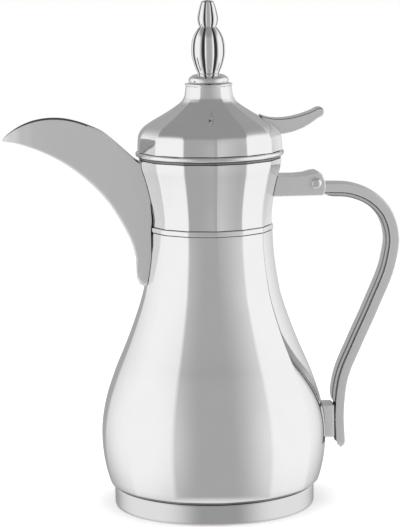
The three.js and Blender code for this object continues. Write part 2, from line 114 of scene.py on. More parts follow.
# Outside profiles as (corner radius, height).
BODY_PROFILE = [
    (63.4, 17.2), (64.9, 23), (66.3, 31), (67, 40), (66.8, 48), (65.8, 56), (63.8, 65), (60.9, 74),
    (57.5, 83), (53.6, 92), (49.9, 101), (46.5, 110), (43.4, 119), (40.8, 128), (39.3, 136),
    (38.1, 144), (37.3, 151), (36.8, 158), (36.7, BODY_TOP),
]
NECK_PROFILE = [
    (36.4, NECK_BOTTOM), (36.2, 171), (36.5, 176), (37.1, 181), (38.6, 189), (40.5, 197), (41.9, 202),
    (42.4, NECK_TOP),
]
CONE_PROFILE = [
    (42.85, 217), (42.5, 219.6), (41.4, 222.3), (38.8, 225.3), (33.7, 228.8), (27.6, 232.3),
    (22, 235.8), (17.4, 239),
]
COLLAR_PROFILE = [(16, 240.3), (14.6, 242.8), (13.9, 246.3), (13.6, 249.2)]
LINER_PROFILE = [
    (44, LINER_BOTTOM), (52, 22), (57, 30), (58.5, 40), (58.2, 50), (56, 62), (52, 74), (46, 89),
    (40, 104), (35, 120), (31.6, 136), (30, 150), (LINER_NECK_R, 162), (LINER_NECK_R, LINER_TOP),
]
BULB_PROFILE = [
    (6.2, 256.5), (7.9, 260.3), (9, 263.8), (9.8, 267.3), (9.9, 270.8), (9.6, 274.3), (8.7, 277.8),
    (6.8, 281.3), (5.2, 283.3),
]
TIP_PROFILE = [(5, 283.6), (5.8, 286), (6.1, 288.6), (5.5, 292), (4.7, 295.2), (3.9, 297.5)]

# Spout outline in the XZ plane, from the tip to the pot.
SPOUT_TOP = [
    (-121.2, 220), (-118.5, 222.6), (-115, 225.1), (-107.5, 228.9), (-100, 231), (-92.5, 231.7),
    (-85, 231.2), (-77.7, 229.5), (-70.3, 226.8), (-63, 223.3), (-55.6, 217.3), (-48.2, 210.5),
    (-42.5, 205.6), (-36, 203),
]
SPOUT_UNDER = [
    (-121.4, 219.5), (-119, 219.1), (-115, 218.6), (-104, 215.3), (-93, 210.4), (-82, 203.7),
    (-74.7, 197.9), (-67.3, 191), (-60.1, 182.5), (-52.8, 170.6), (-47.7, 160.2), (-44.9, 151.8),
    (-43.5, 144.2), (-42.8, 134), (-36, 132),
]
SPOUT_TAPER = [
    (-121.6, 0.7), (-118, 2.6), (-112, 4.8), (-104, 6.4), (-94, 7.3), (-80, 7.9), (-60, 8.8), (-36, 9.8),
]
HANDLE_EDGE = [
    (50, 190.8), (68.5, 190.6), (84, 189.4), (96.6, 184), (106, 174.6), (111.2, 158), (109.3, 143),
    (98.7, 115.5), (88.3, 92.7), (80.3, 73.3), (77.8, 54), (78.4, 31.6),
]
BRACKET_OUTLINE = [
    (30, 184), (66.3, 184), (67.4, 188), (67.3, 192), (65.6, 195.8), (63, 197.6), (60, 197.4),
    (55.5, 196.2), (50, 195.8), (30, 196),
]
FLANGE_OUTLINE = [(30, 181), (38.4, 181), (42.1, 198.6), (30, 198.6)]
FLANGE_HALF = 10.6
THUMB_TOP = [
    (29.9, 231.5), (33, 230.3), (36.5, 229.5), (41, 229.2), (46.9, 229.6), (52.3, 230.7), (57.7, 232.3),
    (61.2, 233.7), (64.2, 235.1),
]
THUMB_TIP = [(66.1, 234.9), (67.1, 233), (66.4, 231.1)]
THUMB_UNDER = [
    (63.4, 229.4), (60.2, 227.1), (54.8, 224), (49.4, 222), (45.2, 221), (41, 220.3), (37.5, 219.4),
    (33.5, 218.6), (30.6, 220.2), (30.2, 224), (31, 228.2),
]
ARM_OUTLINE = [
    (34, 219), (30.5, 216), (26, 215.5), (-4.5, 215.5), (-4.5, ARM_TOP), (26, ARM_TOP), (29.5, 220.5),
    (33, 223),
]


# ---------------------------------------------------------------- curves
def spline(points, steps):
    """A smooth curve through the points, with its tangents weighted by the gaps between them."""
    points = [Vector(p) for p in points]
    gaps = [(b - a).length for a, b in zip(points, points[1:])]
    slopes = [(b - a) / gap for a, b, gap in zip(points, points[1:], gaps)]
    tangents = [slopes[0]]
    for i in range(1, len(slopes)):
        tangents.append((slopes[i - 1] * gaps[i] + slopes[i] * gaps[i - 1]) / (gaps[i - 1] + gaps[i]))
    tangents.append(slopes[-1])
    curve = []
    for i, gap in enumerate(gaps):
        for k in range(steps):
            t = k / steps
            curve.append(
                points[i] * (2 * t**3 - 3 * t**2 + 1) + points[i + 1] * (3 * t**2 - 2 * t**3)
                + tangents[i] * gap * (t**3 - 2 * t**2 + t) + tangents[i + 1] * gap * (t**3 - t**2))
    curve.append(points[-1])
    return curve


def along(curve, count):
    """The same curve as evenly spaced points."""
    lengths = [0]
    for a, b in zip(curve, curve[1:]):
        lengths.append(lengths[-1] + (b - a).length)
    points = []
    i = 0
    for k in range(count):
        want = lengths[-1] * k / (count - 1)
        while i < len(curve) - 2 and lengths[i + 1] < want:
            i += 1
        points.append(curve[i].lerp(curve[i + 1], (want - lengths[i]) / (lengths[i + 1] - lengths[i])))
    return points


def rounded(outline, radius, steps=4):
    """A closed outline with its corners rounded. A third number on a point is its own radius."""
    loop = []
    count = len(outline)
    for i, point in enumerate(outline):
        here = Vector(point[:2])
        before = Vector(outline[i - 1][:2]) - here
        after = Vector(outline[(i + 1) % count][:2]) - here
        own = point[2] if len(point) > 2 else radius
        angle = before.angle(after)
        if own <= 0 or angle > pi - 0.05:
            loop.append(here)
            continue
        reach = min(own / tan(angle / 2), 0.45 * before.length, 0.45 * after.length)
        start = here + before.normalized() * reach
        end = here + after.normalized() * reach
        for k in range(steps + 1):
            t = k / steps
            loop.append(start.lerp(here, t).lerp(here.lerp(end, t), t))
    return loop


def moved_out(loop, amount):
    """Each point of a closed anticlockwise outline moved outward."""
    moved = []
    for i, here in enumerate(loop):
        a = here - loop[i - 1]
        b = loop[(i + 1) % len(loop)] - here
        normal_a = Vector((a.y, -a.x)).normalized()
        normal_b = Vector((b.y, -b.x)).normalized()
        mitre = (normal_a + normal_b) / max(1 + normal_a.dot(normal_b), 0.4)
        moved.append(here + mitre * amount)
    return moved


def anticlockwise(loop):
    area = sum(a.x * b.y - b.x * a.y for a, b in zip(loop, loop[1:] + loop[:1]))
    return loop if area > 0 else loop[::-1]


def interpolate(table, x):
    if x <= table[0][0]:
        return table[0][1]
    for (x0, y0), (x1, y1) in zip(table, table[1:]):
        if x <= x1:
            return y0 + (y1 - y0) * (x - x0) / (x1 - x0)
    return table[-1][1]


# ---------------------------------------------------------------- meshes
def skin(rings, wrap=False):
    """A mesh through rings of points that each close on themselves."""
    bm = bmesh.new()
    rows = [[bm.verts.new(p) for p in points] for points in rings]
    pairs = list(zip(rows, rows[1:]))
    if wrap:
        pairs.append((rows[-1], rows[0]))
    for low, high in pairs:
        for j in range(len(low)):
            k = (j + 1) % len(low)
            bm.faces.new((low[j], low[k], high[k], high[j]))
    if not wrap:
        bm.faces.new(rows[0][::-1])
        bm.faces.new(rows[-1])
    bmesh.ops.remove_doubles(bm, verts=bm.verts, dist=1e-3)
    bmesh.ops.recalc_face_normals(bm, faces=bm.faces)
    return bm


def flat_columns():
    """Angles round the axis as (angle, offset from the middle of its flat), closer at corners."""
    knee = HALF - CORNER
    local = [-HALF, -HALF + 0.35 * CORNER, -HALF + 0.7 * CORNER]
    local += [-knee + 2 * knee * k / 6 for k in range(7)]
    local += [HALF - 0.7 * CORNER, HALF - 0.35 * CORNER]
    return [(side * 2 * HALF + offset, offset) for side in range(SIDES) for offset in local]


def flat_factor(offset, fullness):
    """Radius over corner radius: 0 fullness is a flat, 1 is round."""
    knee = HALF - CORNER
    turn = abs(offset)
    if turn <= knee:
        straight = cos(HALF) / cos(turn)
    else:
        slope = cos(HALF) * tan(knee) / cos(knee)
        over = turn - knee
        straight = cos(HALF) / cos(knee) + slope * (over - over * over / (2 * CORNER))
    return straight * (1 - fullness) + fullness


def lobed(profile, depth, across=14):
    """A closed (radius, height) outline turned about Z with rounded lobes between sharp valleys."""
    step = 2 * pi / LOBES
    columns = [(side * step + step * k / across, abs(2 * k / across)) for side in range(LOBES)
               for k in range(-across // 2, across // 2)]
    rings = []
    for point in profile:
        radii = [(point[0] * (1 - depth * (0.15 * t**2 + 0.85 * t**4)), angle) for angle, t in columns]
        rings.append([(r * cos(a), r * sin(a), point[1]) for r, a in radii])
    return skin(rings, wrap=True)


def turned(profile, segments=128):
    """A closed (radius, height) outline turned about Z."""
    angles = [2 * pi * k / segments for k in range(segments)]
    return skin([[(p[0] * cos(a), p[0] * sin(a), p[1]) for a in angles] for p in profile], wrap=True)


def faceted(profile, fullness=lambda z: 0.0):
    """A closed (corner radius, height) outline turned about Z with flats."""
    columns = flat_columns()
    rings = []
    for point in profile:
        full = fullness(point[1])
        radii = [(point[0] * flat_factor(offset, full), angle) for angle, offset in columns]
        rings.append([(r * cos(a), r * sin(a), point[1]) for r, a in radii])
    return skin(rings, wrap=True)


def with_wall(outside, wall):
    """A closed outline: the outside profile, then back down inside it."""
    return outside + [Vector((p.x - wall, p.y)) for p in reversed(outside)]


def prism(outline, half, edge, crown=0.0, radius=0.0, across=6):
    """An XZ outline as thick as 2 * half along Y, with rounded and crowned edges."""
    loop = anticlockwise(rounded(outline, radius) if radius else [Vector(p[:2]) for p in outline])
    support = 0.25
    bend = [(edge * (1 - cos(pi / 2 * k / 5)), -edge * (1 - sin(pi / 2 * k / 5))) for k in range(6)]
    stations = [(-half, -edge - support)] + [(-half + y, out) for y, out in bend]
    flat = half - edge
    stations += [(-flat + 2 * flat * k / across, 0) for k in range(1, across)]
    stations += [(half - y, out) for y, out in reversed(bend)] + [(half, -edge - support)]
    rings = []
    for y, out in stations:
        rise = crown * (1 - (y / half) ** 2)
        rings.append([(p.x, y, p.y) for p in moved_out(loop, out + rise)])
    return skin(rings)


def swept(curve, section, scale=lambda k: (1, 1)):
    """A closed (across, depth) section along an XZ curve; depth runs to the curve's right."""
    rings = []
    for k, here in enumerate(curve):
        ahead = curve[min(k + 1, len(curve) - 1)] - curve[max(k - 1, 0)]
        inward = Vector((ahead.y, -ahead.x)).normalized()
        wide, deep = scale(k)
        ring = []
        for across, depth in section:
            place = here + inward * (BAR_EDGE / 2 + (depth - BAR_EDGE / 2) * deep)
            ring.append((place.x, across * wide, place.y))
        rings.append(ring)
    return skin(rings)


def rod(radius, start, end, edge=0.2, segments=48):
    """A round bar between two points, with rounded edges."""
    axis = Vector(end) - Vector(start)
    length = axis.length
    bm = turned(rounded([(0, 0, 0), (radius, 0), (radius, length), (0, length, 0)], edge), segments)
    turn = Vector((0, 0, 1)).rotation_difference(axis)
    bmesh.ops.transform(bm, matrix=Matrix.Translation(start) @ turn.to_matrix().to_4x4(), verts=bm.verts)
    return bm


def block(low, high, edge=0.5):
    """A box with rounded edges."""
    bm = bmesh.new()
    bmesh.ops.create_cube(bm, size=1)
    size = Vector(high) - Vector(low)
    bmesh.ops.scale(bm, vec=size, verts=bm.verts)
    bmesh.ops.translate(bm, vec=(Vector(low) + Vector(high)) / 2, verts=bm.verts)
    if edge:
        bmesh.ops.bevel(bm, geom=bm.edges[:], offset=edge, segments=4, profile=0.5, affect="EDGES")
    return bm


def joined(*parts):
    """Several closed meshes as one object's mesh."""
    whole = bmesh.new()
    for part in parts:
        mesh = bpy.data.meshes.new("part")
        part.to_mesh(mesh)
        part.free()
        whole.from_mesh(mesh)
        bpy.data.meshes.remove(mesh)
    return whole


def boolean(bm, operation, *tools):
    """The mesh cut by, or added to, other meshes."""
    objects = []
    for k, shape in enumerate((bm, *tools)):
        bmesh.ops.triangulate(shape, faces=[f for f in shape.faces if len(f.verts) > 4])
        mesh = bpy.data.meshes.new(f"work_{k}")
        shape.to_mesh(mesh)
        shape.free()
        work = bpy.data.objects.new(f"work_{k}", mesh)
        bpy.context.scene.collection.objects.link(work)
        objects.append(work)
    base = objects[0]
    for tool in objects[1:]:
        modifier = base.modifiers.new("cut", "BOOLEAN")
        modifier.operation = operation
        modifier.solver = "EXACT"
        modifier.object = tool
    evaluated = base.evaluated_get(bpy.context.evaluated_depsgraph_get())
    result = bmesh.new()
    result.from_mesh(evaluated.to_mesh())
    evaluated.to_mesh_clear()
    for work in objects:
        mesh = work.data
        bpy.data.objects.remove(work)
        bpy.data.meshes.remove(mesh)
    bmesh.ops.remove_doubles(result, verts=result.verts, dist=1e-3)
    bmesh.ops.dissolve_degenerate(result, edges=result.edges, dist=1e-4)
    return result


def cut(bm, *tools):
    return boolean(bm, "DIFFERENCE", *tools)


def piece(node, bm, material, sharp=35, inner=None, in_painted_shade=None):
    """Adds a mesh as the visible piece for a CAD node, on that node's body.

    Faces that the given test accepts, by their middle and normal, take the inner material, a dark steel
    that paints shade."""
    bmesh.ops.recalc_face_normals(bm, faces=bm.faces)
    if inner:
        bm.normal_update()
        for face in bm.faces:
            face.material_index = int(in_painted_shade(face.calc_center_median(), face.normal))
    bmesh.ops.scale(bm, vec=(MM, MM, MM), verts=bm.verts)
    mesh = bpy.data.meshes.new(f"{node}_form")
    bm.to_mesh(mesh)
    bm.free()
    mesh.shade_smooth()
    mesh.set_sharp_from_angle(angle=radians(sharp))
    made = bpy.data.objects.new(f"{node}_form", mesh)
    bpy.context.scene.collection.objects.link(made)
    made.data.materials.append(material)
    if inner:
        made.data.materials.append(inner)
    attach(made, BODY_OF[node])
    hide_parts(node)


record = frame["record"]
BODY_OF = {node: body for body, nodes in record["behaviour"]["bodies"].items() for node in nodes}


# ---------------------------------------------------------------- materials
def add(tree, kind, inputs=None, **settings):
    """A shader node with its settings, values and incoming links."""
    made = tree.nodes.new(kind)
    for name, value in settings.items():
        setattr(made, name, value)
    for name, value in (inputs or {}).items():
        if isinstance(value, bpy.types.NodeSocket):
            tree.links.new(value, made.inputs[name])
        else:
            made.inputs[name].default_value = value
    return made


def surface(name, colour, metallic, roughness):
    """A new material with its tree, its shader and its object coordinates."""
    material = bpy.data.materials.new(name)
    material.use_nodes = True
    tree = material.node_tree
    shader = tree.nodes["Principled BSDF"]
    shader.inputs["Base Color"].default_value = (*colour, 1)
    shader.inputs["Metallic"].default_value = metallic
    shader.inputs["Roughness"].default_value = roughness
    place = add(tree, "ShaderNodeTexCoord").outputs["Object"]
    return material, tree, shader, place


def noise(tree, place, scale, stretch=(1, 1, 1), detail=3.0, roughness=0.5):
    """Noise with the given features per metre, stretched along the axes."""
    spread = add(tree, "ShaderNodeMapping", {"Vector": place, "Scale": stretch}).outputs["Vector"]
    return add(tree, "ShaderNodeTexNoise", {
        "Vector": spread, "Scale": scale, "Detail": detail, "Roughness": roughness}).outputs[0]


def ranged(tree, value, low, high, start=0.3, end=0.7):
    return add(tree, "ShaderNodeMapRange", {
        "Value": value, "From Min": start, "From Max": end, "To Min": low, "To Max": high}).outputs[0]


def tinted(tree, value, dark, light):
    """A colour that follows a value between two greys."""
    mix = add(tree, "ShaderNodeMix", data_type="RGBA")
    tree.links.new(value, mix.inputs[0])
    mix.inputs[6].default_value = (*dark, 1)
    mix.inputs[7].default_value = (*light, 1)
    return mix.outputs[2]


def smooth(tree, value, start, end, low=0.0, high=1.0):
    return add(tree, "ShaderNodeMapRange", {
        "Value": value, "From Min": start, "From Max": end, "To Min": low, "To Max": high},
        interpolation_type="SMOOTHSTEP").outputs[0]


def times(tree, *values):
    product = values[0]
    for value in values[1:]:
        product = add(tree, "ShaderNodeMath", {0: product, 1: value}, operation="MULTIPLY").outputs[0]
    return product


def bumped(tree, height, distance, strength, onto=None):
    inputs = {"Height": height, "Distance": distance, "Strength": strength}
    if onto:
        inputs["Normal"] = onto
    return add(tree, "ShaderNodeBump", inputs).outputs[0]


def polished_steel(name="polished_steel", base=0.92):
    """Mirror steel: pressed sheet with a faint wave, fine wipe marks and a hazier film in places."""
    material, tree, shader, place = surface(name, (base,) * 3, 1, 0.04)
    wave = noise(tree, place, 38, detail=1.0)
    wipes = noise(tree, place, 260, (1, 1, 0.12), detail=4.0)
    haze = noise(tree, place, 70, detail=3.0)
    both = add(tree, "ShaderNodeMath", {
        0: ranged(tree, haze, 0.0, 0.025), 1: ranged(tree, wipes, 0.025, 0.045)},
        operation="ADD").outputs[0]
    tree.links.new(both, shader.inputs["Roughness"])
    tint = tinted(tree, haze, (base - 0.02,) * 3, (base + 0.02,) * 3)
    tree.links.new(tint, shader.inputs["Base Color"])
    normal = bumped(tree, wave, 0.0006, 0.12)
    tree.links.new(bumped(tree, wipes, 0.00002, 0.1, normal), shader.inputs["Normal"])
    return material


def valley_shade_steel():
    """Polished steel with painted shade: the base colour goes near black in the valleys between the
    finial's lobes.
    """
    material = polished_steel("valley_shade_steel")
    tree = material.node_tree
    shader = tree.nodes["Principled BSDF"]
    place = add(tree, "ShaderNodeSeparateXYZ", {0: add(tree, "ShaderNodeTexCoord").outputs["Object"]})
    angle = add(tree, "ShaderNodeMath", {0: place.outputs["Y"], 1: place.outputs["X"]},
                operation="ARCTAN2").outputs[0]
    wave = add(tree, "ShaderNodeMath", {0: times(tree, angle, LOBES)}, operation="COSINE").outputs[0]
    # Painted shade: the base colour goes almost black in the valleys between lobes.
    valley = smooth(tree, wave, -0.5, -0.8)
    unshaded = shader.inputs["Base Color"].links[0].from_socket
    mix = add(tree, "ShaderNodeMix", data_type="RGBA")
    tree.links.new(valley, mix.inputs[0])
    tree.links.new(unshaded, mix.inputs[6])
    mix.inputs[7].default_value = (0.09, 0.09, 0.09, 1)
    tree.links.new(mix.outputs[2], shader.inputs["Base Color"])
    return material


def satin_steel(name, base, roughness, stretch, grain=700):
    """Satin steel with fine brush lines along one axis."""
    material, tree, shader, place = surface(name, (base, base, base), 1, roughness)
    lines = noise(tree, place, grain, stretch, detail=4.0, roughness=0.6)
    cloud = noise(tree, place, 55, detail=3.0)
    tree.links.new(ranged(tree, lines, roughness - 0.02, roughness + 0.03), shader.inputs["Roughness"])
    low = (base * 0.98,) * 3
    high = (min(base * 1.02, 1.0),) * 3
    tree.links.new(tinted(tree, cloud, low, high), shader.inputs["Base Color"])
    tree.links.new(bumped(tree, lines, 0.00001, 0.05), shader.inputs["Normal"])
    return material


def turned_steel(name, base, roughness):
    """Machined steel with rings left by the tool."""
    material, tree, shader, place = surface(name, (base, base, base), 1, roughness)
    rings = noise(tree, place, 1800, (0.02, 0.02, 1), detail=2.0)
    cloud = noise(tree, place, 160, detail=3.0)
    tree.links.new(ranged(tree, rings, roughness - 0.06, roughness + 0.08), shader.inputs["Roughness"])
    tint = tinted(tree, cloud, (base * 0.92,) * 3, (base * 1.05,) * 3)
    tree.links.new(tint, shader.inputs["Base Color"])
    tree.links.new(bumped(tree, rings, 0.00004, 0.3), shader.inputs["Normal"])
    return material


def moulded_plastic():
    """Black plastic with a fine sparked texture, rubbed smoother in places."""
    material, tree, shader, place = surface("moulded_plastic", (0.02, 0.02, 0.021), 0, 0.45)
    grain = noise(tree, place, 2600, detail=2.0)
    rubbed = noise(tree, place, 45, detail=3.0)
    tree.links.new(ranged(tree, rubbed, 0.34, 0.52), shader.inputs["Roughness"])
    tree.links.new(tinted(tree, grain, (0.014,) * 3, (0.028,) * 3), shader.inputs["Base Color"])
    tree.links.new(bumped(tree, grain, 0.00005, 0.35), shader.inputs["Normal"])
    return material


def silicone():
    """Milky silicone with a soft sheen, a little dust and moulding haze."""
    material, tree, shader, place = surface("milky_silicone", (0.8, 0.79, 0.76), 0, 0.55)
    cloud = noise(tree, place, 120, detail=4.0)
    specks = noise(tree, place, 1500, detail=2.0)
    tint = tinted(tree, cloud, (0.72, 0.71, 0.68), (0.84, 0.83, 0.8))
    tree.links.new(tint, shader.inputs["Base Color"])
    tree.links.new(ranged(tree, specks, 0.48, 0.66), shader.inputs["Roughness"])
    tree.links.new(bumped(tree, specks, 0.00004, 0.25), shader.inputs["Normal"])
    shader.inputs["Subsurface Weight"].default_value = 0.15
    shader.inputs["Subsurface Radius"].default_value = (0.003, 0.0025, 0.002)
    return material


POLISHED = polished_steel()
SATIN = satin_steel("satin_steel", 0.98, 0.5, (1, 1, 0.06))
GRIP = satin_steel("grip_steel", 0.95, 0.24, (1, 1, 0.08))
DRAWN = satin_steel("drawn_steel", 0.8, 0.3, (0.05, 0.05, 1), 900)
# A dark steel that paints shade into hollows, gaps, seams and creases.
PAINTED_SHADE = satin_steel("painted_shade_steel", 0.3, 0.42, (0.3, 0.3, 1), 900)
# A darker copy of the polished steel: painted shade on the foot ring, low in the pot's shade near the
# floor.
SHADED_FOOT_STEEL = polished_steel("shaded_foot_steel", 0.76)
VALLEY_SHADE = valley_shade_steel()
SCREW = turned_steel("turned_steel", 0.62, 0.32)
WIRE = turned_steel("spring_wire", 0.5, 0.35)
PLASTIC = moulded_plastic()
SILICONE = silicone()


# ---------------------------------------------------------------- foot and body
def body_fullness(z):
    """How far the flats bulge towards round: most at the belly."""
    return interpolate([(BODY_BOTTOM, 0.7), (50, 0.7), (100, 0.5), (BODY_TOP, 0.3)], z)


def body_outside():
    foot = rounded([(57, BODY_BOTTOM, 0), (59.7, BODY_BOTTOM, 0.8), (62.3, 14.2, 2), (63.4, 17.2, 0)], 1)
    return foot[:-1] + spline(BODY_PROFILE, 4)


def foot_and_body():
    # The foot ring takes the darker steel copy as painted shade.
    piece("foot_ring", turned(rounded([
        (FOOT_R - 0.4, 0, 0.8), (FOOT_R, 1.5, 2), (FOOT_R, FOOT_H - 1.5, 2), (FOOT_R - 0.7, FOOT_H, 0.6),
        (FOOT_FLANGE_R, FOOT_H, 0.3), (FOOT_FLANGE_R, FOOT_H - 1.5, 0.3),
        (FOOT_R - FOOT_WALL, FOOT_H - 1.5, 0.8), (FOOT_R - FOOT_WALL, 0, 0.6)], 0.5), 224), SHADED_FOOT_STEEL)
    cap_r = FOOT_R - FOOT_WALL - GAP
    piece("base_cap", turned(rounded([
        (0, 0.5, 0), (30, 0.5, 0.3), (31, 0, 0.3), (cap_r, 0, 0.6), (cap_r, 5, 0.4),
        (cap_r - 1.6, 5, 0.4),
        (cap_r - 1.6, 1.8, 0.6), (0, 1.8, 0)], 0.3), 160), PLASTIC)
    piece("liner_support", turned(rounded([(30, 2.1), (36, 2.1), (36, 18), (30, 18)], 0.8), 96), SILICONE)
    bore = rod(BOLT_BORE_R, (55, 0, BOLT_Z), (90, 0, BOLT_Z), 0)
    # Below DARK_UNDER the body's faces take dark steel: painted shade in the crease above the foot.
    piece("outer_body", cut(faceted(with_wall(body_outside(), BODY_WALL), body_fullness), bore), POLISHED,
          inner=PAINTED_SHADE, in_painted_shade=lambda middle, normal: middle.z < DARK_UNDER)
    outside = rounded([(0, LINER_BOTTOM, 0), (44, LINER_BOTTOM, 3), (49, 20.2, 0)], 3)
    outside += spline(LINER_PROFILE[1:], 3)
    inside = [Vector((max(p.x - LINER_WALL, 0), p.y + (LINER_WALL if p.y < 22 else 0))) for p in outside]
    piece("inner_liner", turned(outside + inside[::-1], 112), DRAWN)


# ---------------------------------------------------------------- neck
def neck():
    piece("neck_ring", faceted(rounded([
        (LINER_NECK_R + 1.5, BODY_TOP + GAP, 0.2), (NECK_RING_R, BODY_TOP + GAP, 0.7),
        (NECK_RING_R, NECK_RING_TOP, 0.7), (LINER_NECK_R + 1.5, NECK_RING_TOP, 0.2)], 0.3),
        lambda z: 0.2), POLISHED)
    window = block((-45, -8, 182), (-30, 8, 200), 0)
    bores = [rod(BOLT_BORE_R, (32, side * BRACKET_SCREW_Y, BRACKET_SCREW_Z),
                 (46.5, side * BRACKET_SCREW_Y, BRACKET_SCREW_Z), 0) for side in (-1, 1)]
    wall = with_wall(spline(NECK_PROFILE, 4), NECK_WALL)
    piece("neck_shell", cut(faceted(wall, lambda z: NECK_FULLNESS), window, *bores), POLISHED)
    # The rim ring is dark steel throughout: painted shade for the gap under the lid's bead.
    piece("rim_ring", faceted(rounded([
        (39.5, NECK_TOP + GAP, 0.2), (42.1, NECK_TOP + GAP, 0.4), (42.1, RIM_TOP, 0.4),
        (39.5, RIM_TOP, 0.2)], 0.3), lambda z: 0.1), PAINTED_SHADE)
    outline = rounded([
        (LINER_NECK_R + 0.4, NECK_BOTTOM + 0.4, 0.4), (COLLAR_R, NECK_BOTTOM + 0.4, 0.4),
        (COLLAR_R, NECK_TOP - 3, 0.8), (38, NECK_TOP - 2, 0.4), (38, NECK_TOP, 0.5),
        (COLLAR_BORE, NECK_TOP, 0.6), (COLLAR_BORE, LINER_TOP + GAP, 0.4),
        (LINER_NECK_R + 0.4, LINER_TOP + GAP, 0.3)], 0.4)
    piece("pour_collar", cut(turned(outline, 112), block((-40, -7, 185), (-20, 7, 197), 0)), PLASTIC)


def pot_envelope(grow):
    """The pot's outside, grown a little, to trim what is fastened on it."""
    neck_line = spline(NECK_PROFILE, 4)
    ring = [Vector((NECK_RING_R, BODY_TOP - 0.2)), Vector((NECK_RING_R, NECK_BOTTOM + 0.2))]
    body_line = [p for p in body_outside() if p.y < BODY_TOP - 0.3]
    line = [Vector((p.x + grow, p.y)) for p in body_line + ring + neck_line[1:]]
    top = Vector((0, NECK_TOP + 6))
    line.append(Vector((line[-1].x, top.y)))
    columns = flat_columns()
    rings = []
    for point in line:
        full = body_fullness(point.y) if point.y < BODY_TOP else NECK_FULLNESS
        radii = [(point.x * flat_factor(offset, full), angle) for angle, offset in columns]
        rings.append([(r * cos(a), r * sin(a), point.y) for r, a in radii])
    return skin(rings)


# ---------------------------------------------------------------- spout
SPOUT_STATIONS = 72
SPOUT_CORNER = [(0, 0.4), (0.25, 2.0), (0.6, 3), (1, 3)]   # radius by the part of its length
RIM_RISE = 0.2


def spout_lines():
    """Matching points down the spout's top edge and its underside."""
    return along(spline(SPOUT_TOP, 6), SPOUT_STATIONS), along(spline(SPOUT_UNDER, 6), SPOUT_STATIONS)


def spout_half(x):
    """Half width of the spout at x, on a smooth taper."""
    return interpolate(SPOUT_TAPER, x)


def spout_section(top, under, wall, part):
    """One U-shaped section, from the left rim down round the underside and up to the right rim."""
    down = under - top
    depth = max(down.length, 0.05)
    down = down / depth
    corner = min(interpolate(SPOUT_CORNER, part), depth * 0.45)
    floor = depth - wall * 1.1
    corner = max(corner - wall * 0.6, 0.15)
    corner = min(corner, floor * 0.48) if floor > 0.1 else 0.04
    floor = max(floor, 0.1)
    half = max(spout_half(top.x) - wall, 0.12)
    side = [(half, (floor - corner) * k / 8) for k in range(8)]
    quarter = [pi / 2 * k / 7 for k in range(8)]
    bend = [(half - corner * (1 - cos(a)), floor - corner * (1 - sin(a))) for a in quarter]
    right = side + bend
    points = right + [(-y, q) for y, q in reversed(right)]
    section = []
    for y, q in points:
        place = top + down * q
        width = max(spout_half(place.x) - wall, 0.12) / half
        section.append((place.x, y * width, place.y))
    return section


def hollow_side(middle, normal):
    """Whether a face of the spout is on its inside, which takes dark steel as painted shade."""
    inside = abs(middle.y) < spout_half(middle.x) - SPOUT_WALL + 0.2
    return inside and (normal.y * middle.y < -0.3 * abs(middle.y) or normal.z > 0.25)


def spout():
    tops, unders = spout_lines()
    rings = []
    for k, (top, under) in enumerate(zip(tops, unders)):
        part = k / (SPOUT_STATIONS - 1)
        outer = [Vector(p) for p in spout_section(top, under, 0, part)]
        inner = [Vector(p) for p in spout_section(top, under, SPOUT_WALL, part)]
        up = (Vector((top.x, 0, top.y)) - Vector((under.x, 0, under.y))).normalized()
        rises = [(t, up * (RIM_RISE * sin(pi * t))) for t in (0.25, 0.5, 0.75)]
        rim_right = [outer[0].lerp(inner[0], t) + rise for t, rise in rises]
        rim_left = [inner[-1].lerp(outer[-1], t) + rise for t, rise in rises]
        rings.append(outer + rim_left[::-1] + inner[::-1] + rim_right[::-1])
    shell = cut(skin(rings), pot_envelope(TRIM))
    piece("spout_shell", shell, SATIN, inner=PAINTED_SHADE, in_painted_shade=hollow_side)

    hood = [p for p in spline(SPOUT_TOP, 8) if p.x > HOOD_START]
    rings = []
    for k, here in enumerate(hood):
        half = spout_half(here.x) - SPOUT_WALL - 0.25
        rise = 0.9 * min(1, (k + 1) / 6)
        across = [-1 + 2 * j / 12 for j in range(13)]
        upper = [(here.x, half * a, here.y - 0.5 + rise * (1 - a * a)) for a in across]
        lower = [(here.x - 0.4, half * a, here.y - 1.5 + rise * (1 - a * a)) for a in reversed(across)]
        rings.append(upper + lower)
    piece("spout_hood", cut(skin(rings), pot_envelope(TRIM)), SATIN)


# ---------------------------------------------------------------- handle
BAR_POINTS = 110
BAR_STEP = 1.97                  # distance between those points


def bar_curve():
    return along(spline(HANDLE_EDGE, 12), BAR_POINTS)


def bar_end(k, length=4):
    """Scale of the bar's section, which closes in a round end at the bottom."""
    left = (BAR_POINTS - 1 - k) * BAR_STEP
    if left >= length:
        return 1, 1
    deep = sqrt(max(1 - (1 - left / length) ** 2, 0.02))
    return 0.86 + 0.14 * deep, deep


def rivet_bore():
    return rod(RIVET_BORE_R, (RIVET[0], -20, RIVET[1]), (RIVET[0], 20, RIVET[1]), 0)


